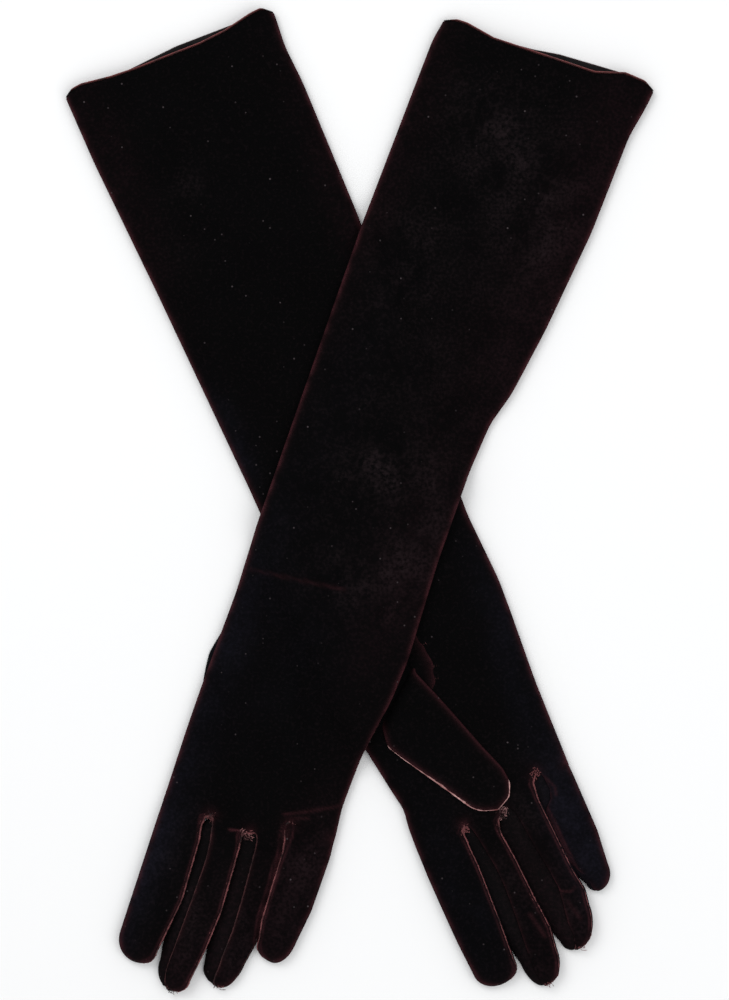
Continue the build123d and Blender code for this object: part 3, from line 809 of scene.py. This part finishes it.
def build_root(glove):
    """The thumb's root (gusset, bulge and the hole's cover) and the seam round the hole."""
    body, arc, back = glove.side + "_glove", resampled(ROOT_ARC, ROOT_ROWS), resampled(ROOT_BACK, ROOT_ROWS)
    part = np.linspace(0, 1, ROOT_COLUMNS)
    face, out = (0, 1) if glove.palm_up else (1, -1)
    u, v = between(resampled(ROOT_FOLD, ROOT_ROWS), arc, part)
    crown = ROOT_CROWN * np.sqrt(np.sin(np.pi * np.clip(part * 0.92 + 0.08, 0, 1)))
    crown = crown * np.sin(np.pi * np.linspace(0.03, 0.97, ROOT_ROWS))[:, None] ** 0.5
    raised = crown + ripples(u, v, 61.0, 4, 7, 0.35) if glove.palm_up else -crown * 0.6
    gusset = glove.world(u, v, glove.heights(u, v)[face] + raised)
    turn = np.linspace(0, np.pi, ROOT_ROWS)
    outer = glove.edges(BULGE_MIDDLE)[0] - BULGE_REACH * np.sin(turn) ** 0.7 + 2.5 * np.abs(np.cos(turn))
    bulge_v = (BULGE_MIDDLE - BULGE_LENGTH / 2 * np.cos(turn))[:, None]
    edge = glove.edges(bulge_v)[0]
    bulge_u = edge + 9 * (1 - part) + (outer[:, None] - edge) * part
    height = BULGE_HEIGHT * rounded((1 - part) / 0.5)
    if glove.palm_up:
        height = height + glove.heights(bulge_u, bulge_v + 0 * bulge_u)[1] + 0.6
    bulge = glove.flat_world(bulge_u, bulge_v, height + 0.4)
    u, v = between(resampled(ROOT_BASE, ROOT_ROWS), back, part)
    dome = 0.3 + 1.1 * np.sin(np.pi * part) ** 0.8 + ripples(u, v, 67.0, 5, 6, 0.3)
    cover = glove.world(u, v, glove.heights(u, v)[face] + (dome if glove.palm_up else -0.4 * dome))
    obj = mesh_object(f"{glove.side}_thumb_root_gusset", [gusset], STRIP_CLOTH, not glove.palm_up)
    join(obj, [mesh_object("bulge", [bulge], STRIP_CLOTH, True),
               mesh_object("cover", [cover], STRIP_CLOTH, glove.palm_up)])
    # A painted reddish sheen along the root's arc.
    finish_piece(obj, body, "velvet", [f"{glove.side}_thumb_root"],
                 {"rim_sheen": np.exp(-near_path(glove, obj, arc) / 1.8), **brushed_and_sheen_of(glove, obj)})
    lines = []
    for path, wide, proud in ((arc, 1.2, 0.1), (back, 0.9, 0.25),
                              (resampled(THUMB_FOLDED[1:3], 12), 0.5, 0.25)):
        z = glove.heights(path[:, 0], path[:, 1])[face] + out * proud
        points = glove.world(path[:, 0], path[:, 1], z)
        lines.append(ribbon(points, np.array([0, 0, float(out)]), wide, 0.6, 51.0))
    seam_piece(glove, body, mesh_object(f"{glove.side}_thumb_hole_seam_line", lines), "thumb_hole_seam", 0.8)


def join(obj, others):
    """Adds the other objects' meshes to obj."""
    mesh = bmesh.new()
    for part in [obj, *others]:
        mesh.from_mesh(part.data)
    mesh.to_mesh(obj.data)
    mesh.free()
    for part in others:
        bpy.data.objects.remove(part)
    obj.data.shade_smooth()


def node(tree, kind, inputs=None, **settings):
    made = tree.nodes.new(kind)
    for name, value in settings.items():
        setattr(made, name, value)
    for name, value in (inputs or {}).items():
        if isinstance(value, bpy.types.NodeSocket):
            tree.links.new(value, made.inputs[name])
        else:
            made.inputs[name].default_value = value
    return made


def mixed(tree, share, a, b):
    """A colour between a and b; each is a socket or a colour."""
    return node(tree, "ShaderNodeMix", {0: share, 6: a, 7: b}, data_type="RGBA").outputs[2]


def ranged(tree, value, low, high, to_low=0.0, to_high=1.0):
    inputs = {"Value": value, "From Min": low, "From Max": high, "To Min": to_low, "To Max": to_high}
    return node(tree, "ShaderNodeMapRange", inputs).outputs["Result"]


def times(tree, a, b, operation="MULTIPLY"):
    return node(tree, "ShaderNodeMath", {0: a, 1: b}, operation=operation).outputs[0]


def new_material(name):
    material = bpy.data.materials.new(name)
    material.use_nodes = True
    return material, material.node_tree


def placed(tree):
    """The object's own coordinates."""
    return node(tree, "ShaderNodeTexCoord").outputs["Object"]


def speckled(tree, scale, detail):
    inputs = {"Vector": placed(tree), "Scale": scale, "Detail": detail}
    return node(tree, "ShaderNodeTexNoise", inputs).outputs["Fac"]


def marked(tree, name):
    """A number that mark() has set on the mesh."""
    return node(tree, "ShaderNodeAttribute", attribute_name=name).outputs["Fac"]


def connect(tree, colour, roughness, bump, constants):
    """Links the three sockets that vary and sets the rest as constants."""
    shader = tree.nodes["Principled BSDF"]
    for name, value in constants.items():
        shader.inputs[name].default_value = value
    tree.links.new(colour, shader.inputs["Base Color"])
    tree.links.new(roughness, shader.inputs["Roughness"])
    tree.links.new(bump.outputs["Normal"], shader.inputs["Normal"])


# Colours of the pile's painted cool and warm sheen, of lint and of the painted sheen on the highest seam pile
COOL_SHEEN = (0.008, 0.0078, 0.0135)
WARM_SHEEN = (0.011, 0.004, 0.0055)
LINT = (0.065, 0.052, 0.056)
BRIGHTEST_PILE_SHEEN = (0.75, 0.50, 0.48)


def velvet(name, dark, lighter, rim_sheen):
    """Short stretch-velvet pile: near black face on, with a painted reddish sheen where it stands on edge and
    painted cool and warm sheen in patches, with lint on it.
    """
    material, tree = new_material(name)
    clouds, tufts, pile = [speckled(tree, *size) for size in ((38.0, 4.0), (560.0, 5.0), (1700.0, 2.0))]
    brushed, cool, warm, edge = [marked(tree, kind) for kind in ("brushed", "cool", "warm", "rim_sheen")]
    colour = mixed(tree, ranged(tree, clouds, 0.35, 0.7), (*dark, 1), (*[c * 1.35 for c in dark], 1))
    colour = mixed(tree, ranged(tree, tufts, 0.50, 0.80, 0, 0.32), colour, (*lighter, 1))
    # Painted cool and warm sheen in patches.
    colour = mixed(tree, times(tree, cool, ranged(tree, tufts, 0.3, 0.7, 0.3, 1.0)), colour, (*COOL_SHEEN, 1))
    colour = mixed(tree, times(tree, warm, ranged(tree, tufts, 0.3, 0.7, 0.1, 1.0)), colour, (*WARM_SHEEN, 1))
    colour = mixed(tree, times(tree, brushed, ranged(tree, tufts, 0.35, 0.65)), colour, (*lighter, 1))
    # A painted reddish sheen along edges, seams and parted lines.
    colour = mixed(tree, times(tree, edge, ranged(tree, pile, 0.3, 0.7, 0.25, 1.0)), colour, (*rim_sheen, 1))
    cells = node(tree, "ShaderNodeTexVoronoi", {"Vector": placed(tree), "Scale": 520.0})
    speck = ranged(tree, cells.outputs["Distance"], 0.32, 0.15)
    chance = node(tree, "ShaderNodeSeparateColor", {"Color": cells.outputs["Color"]}).outputs["Red"]
    lint = times(tree, speck, ranged(tree, chance, 0.985, 1.0))
    colour = mixed(tree, lint, colour, (*LINT, 1))
    height = times(tree, times(tree, pile, tufts, "ADD"), times(tree, clouds, 0.4), "ADD")
    bump = node(tree, "ShaderNodeBump", {"Height": height, "Strength": 0.55, "Distance": 0.0004})
    connect(tree, colour, ranged(tree, tufts, 0.3, 0.7, 0.78, 0.95), bump,
            {"Sheen Weight": 0.03, "Sheen Roughness": 0.3, "Sheen Tint": (0.2, 0.1, 0.12, 1),
             "Specular IOR Level": 0.035})
    return material


def sewn(name, dark, bright, share, by_rim_sheen=False):
    """Parted pile and thread along a seam: patchy, from dark to a bright painted sheen."""
    material, tree = new_material(name)
    edge, patches, fibres = marked(tree, "rim_sheen"), speckled(tree, 130.0, 5.0), speckled(tree, 1500.0, 2.0)
    lit = ranged(tree, patches, share, share + 0.22)
    colour = mixed(tree, times(tree, edge, lit) if by_rim_sheen else lit, (*dark, 1), (*bright, 1))
    if by_rim_sheen:
        # The highest seam pile is painted in the brightest sheen.
        colour = mixed(tree, times(tree, ranged(tree, edge, 1.0, 2.0), lit), colour, (*BRIGHTEST_PILE_SHEEN, 1))
    colour = mixed(tree, ranged(tree, fibres, 0.4, 0.7, 0, 0.6), colour, (*[c * 2 for c in dark], 1))
    bump = node(tree, "ShaderNodeBump", {"Height": fibres, "Strength": 0.6, "Distance": 0.0003})
    connect(tree, colour, ranged(tree, patches, 0.3, 0.7, 0.65, 0.9), bump,
            {"Sheen Weight": 0.5, "Sheen Roughness": 0.35, "Sheen Tint": (0.5, 0.2, 0.2, 1),
             "Specular IOR Level": 0.2})
    return material


MATERIALS = {
    "velvet": velvet("stretch velvet", dark=(0.0009, 0.0008, 0.00095), lighter=(0.0125, 0.0082, 0.0094),
                     rim_sheen=(0.062, 0.017, 0.0215)),
    # Painted lighter than the velvet, against the shade between the fingers.
    "fourchette": velvet("fourchette velvet painted lighter", dark=(0.0023, 0.0019, 0.0021), lighter=(0.016, 0.01, 0.0115),
                         rim_sheen=(0.03, 0.009, 0.011)),
    # A painted highlight along the hem's fold.
    "hem": sewn("hem fold", (0.0014, 0.0009, 0.0012), (0.42, 0.085, 0.08), 0.26, by_rim_sheen=True),
    "thread": sewn("seam pile", (0.01, 0.0035, 0.0042), (0.23, 0.075, 0.078), 0.34, by_rim_sheen=True),
    "thread_bright": sewn("thumb seam pile", (0.15, 0.048, 0.048), (0.60, 0.36, 0.34), 0.36),
}


def build_stage():
    """A pale floor in soft, even light."""
    bpy.ops.mesh.primitive_plane_add(size=12, location=(0, 0, 0))
    floor = bpy.context.object
    floor.name = "floor"
    paper, tree = new_material("floor paper")
    shader = tree.nodes["Principled BSDF"]
    shader.inputs["Base Color"].default_value = (0.955, 0.955, 0.955, 1)
    shader.inputs["Roughness"].default_value = 0.9
    shader.inputs["Specular IOR Level"].default_value = 0.1
    floor.data.materials.append(paper)
    scene = bpy.context.scene
    scene.view_settings.view_transform = "Standard"
    scene.world = bpy.data.worlds.new("soft studio")
    scene.world.use_nodes = True
    sky = scene.world.node_tree.nodes["Background"]
    sky.inputs["Color"].default_value = (0.98, 0.99, 1.0, 1)
    sky.inputs["Strength"].default_value = 0.72
    lamps = (("key", (-0.9, 1.1, 1.6), 14.0, 1.2), ("fill", (1.1, -0.4, 1.5), 7.0, 1.4))
    for name, place, power, size in lamps:
        light = bpy.data.lights.new(name, "AREA")
        light.energy, light.size = power, size
        lamp = bpy.data.objects.new(name, light)
        lamp.location = place
        lamp.rotation_euler = (-lamp.location).to_track_quat("-Z", "Y").to_euler()
        scene.collection.objects.link(lamp)


def build_camera():
    """Straight above the pair, with 560 mm of the table from the picture's top to its bottom."""
    distance, seen_height, aside = 2.8, 0.56, (0.0047, 0.001)
    camera = bpy.data.cameras.new("camera")
    camera.sensor_width = 36
    camera.lens = camera.sensor_width * distance / seen_height
    holder = bpy.data.objects.new("camera", camera)
    low, high = (Vector(c) for c in cad_box)
    holder.location = ((low.x + high.x) / 2 + aside[0], (low.y + high.y) / 2 + aside[1], distance)
    bpy.context.scene.collection.objects.link(holder)
    bpy.context.scene.camera = holder


# seam_shares: how strongly the pile is parted on the edge and on the seam beside it, for each gap between
# fingers, which sets each seam's size and its painted sheen. tufts: the number of short fibres at each
# crotch, how far out they lie and how bright their painted sheen is.
right = Glove("right", 21.67, RIGHT_FINGERS, RIGHT_OUTLINE, True, 2.0,
              seam_shares=[(1.0, 0.25), (1.0, 0.25), (0.9, 0.3)],
              tufts=[(110, 4.4, 0.95), (100, 4.2, 1.45), (26, 3.0, 0.9)])
left = Glove("left", -21.55, LEFT_FINGERS, LEFT_OUTLINE, False, 40.0,
             seam_shares=[(1.0, 0.26), (1.0, 0.24), (0.2, 1.0)],
             tufts=[(40, 3.2, 0.8), (66, 4.4, 1.15), (44, 3.0, 1.1)])


def lying_on_right(x, y, u, v):
    """How far the left glove's underside is raised by the right glove, the right thumb and its own thumb."""
    ru, rv = right.local(x, y)
    low, high = right.edges(rv)
    outside = np.maximum(np.maximum(low - ru, ru - high), 0)
    on_glove = (HAND_THICK + 0.9) * (1 - smooth(outside / 15))
    gap, _ = distance_to_line(ru, rv, (-20, 172), (2, 196))
    on_thumb = (THUMB_THICK + 0.2) * (1 - smooth((gap - 8) / 22))
    own, _ = distance_to_line(u, v, (13, 114), (-22, 184))
    on_own = (THUMB_THICK + 0.2) * (1 - smooth((own - 13) / 12))
    return np.maximum(on_glove + on_thumb, on_own)


left.lift = lying_on_right

build_stage()
build_camera()
for glove in (right, left):
    panels = build_hand(glove)
    build_thumb(glove)
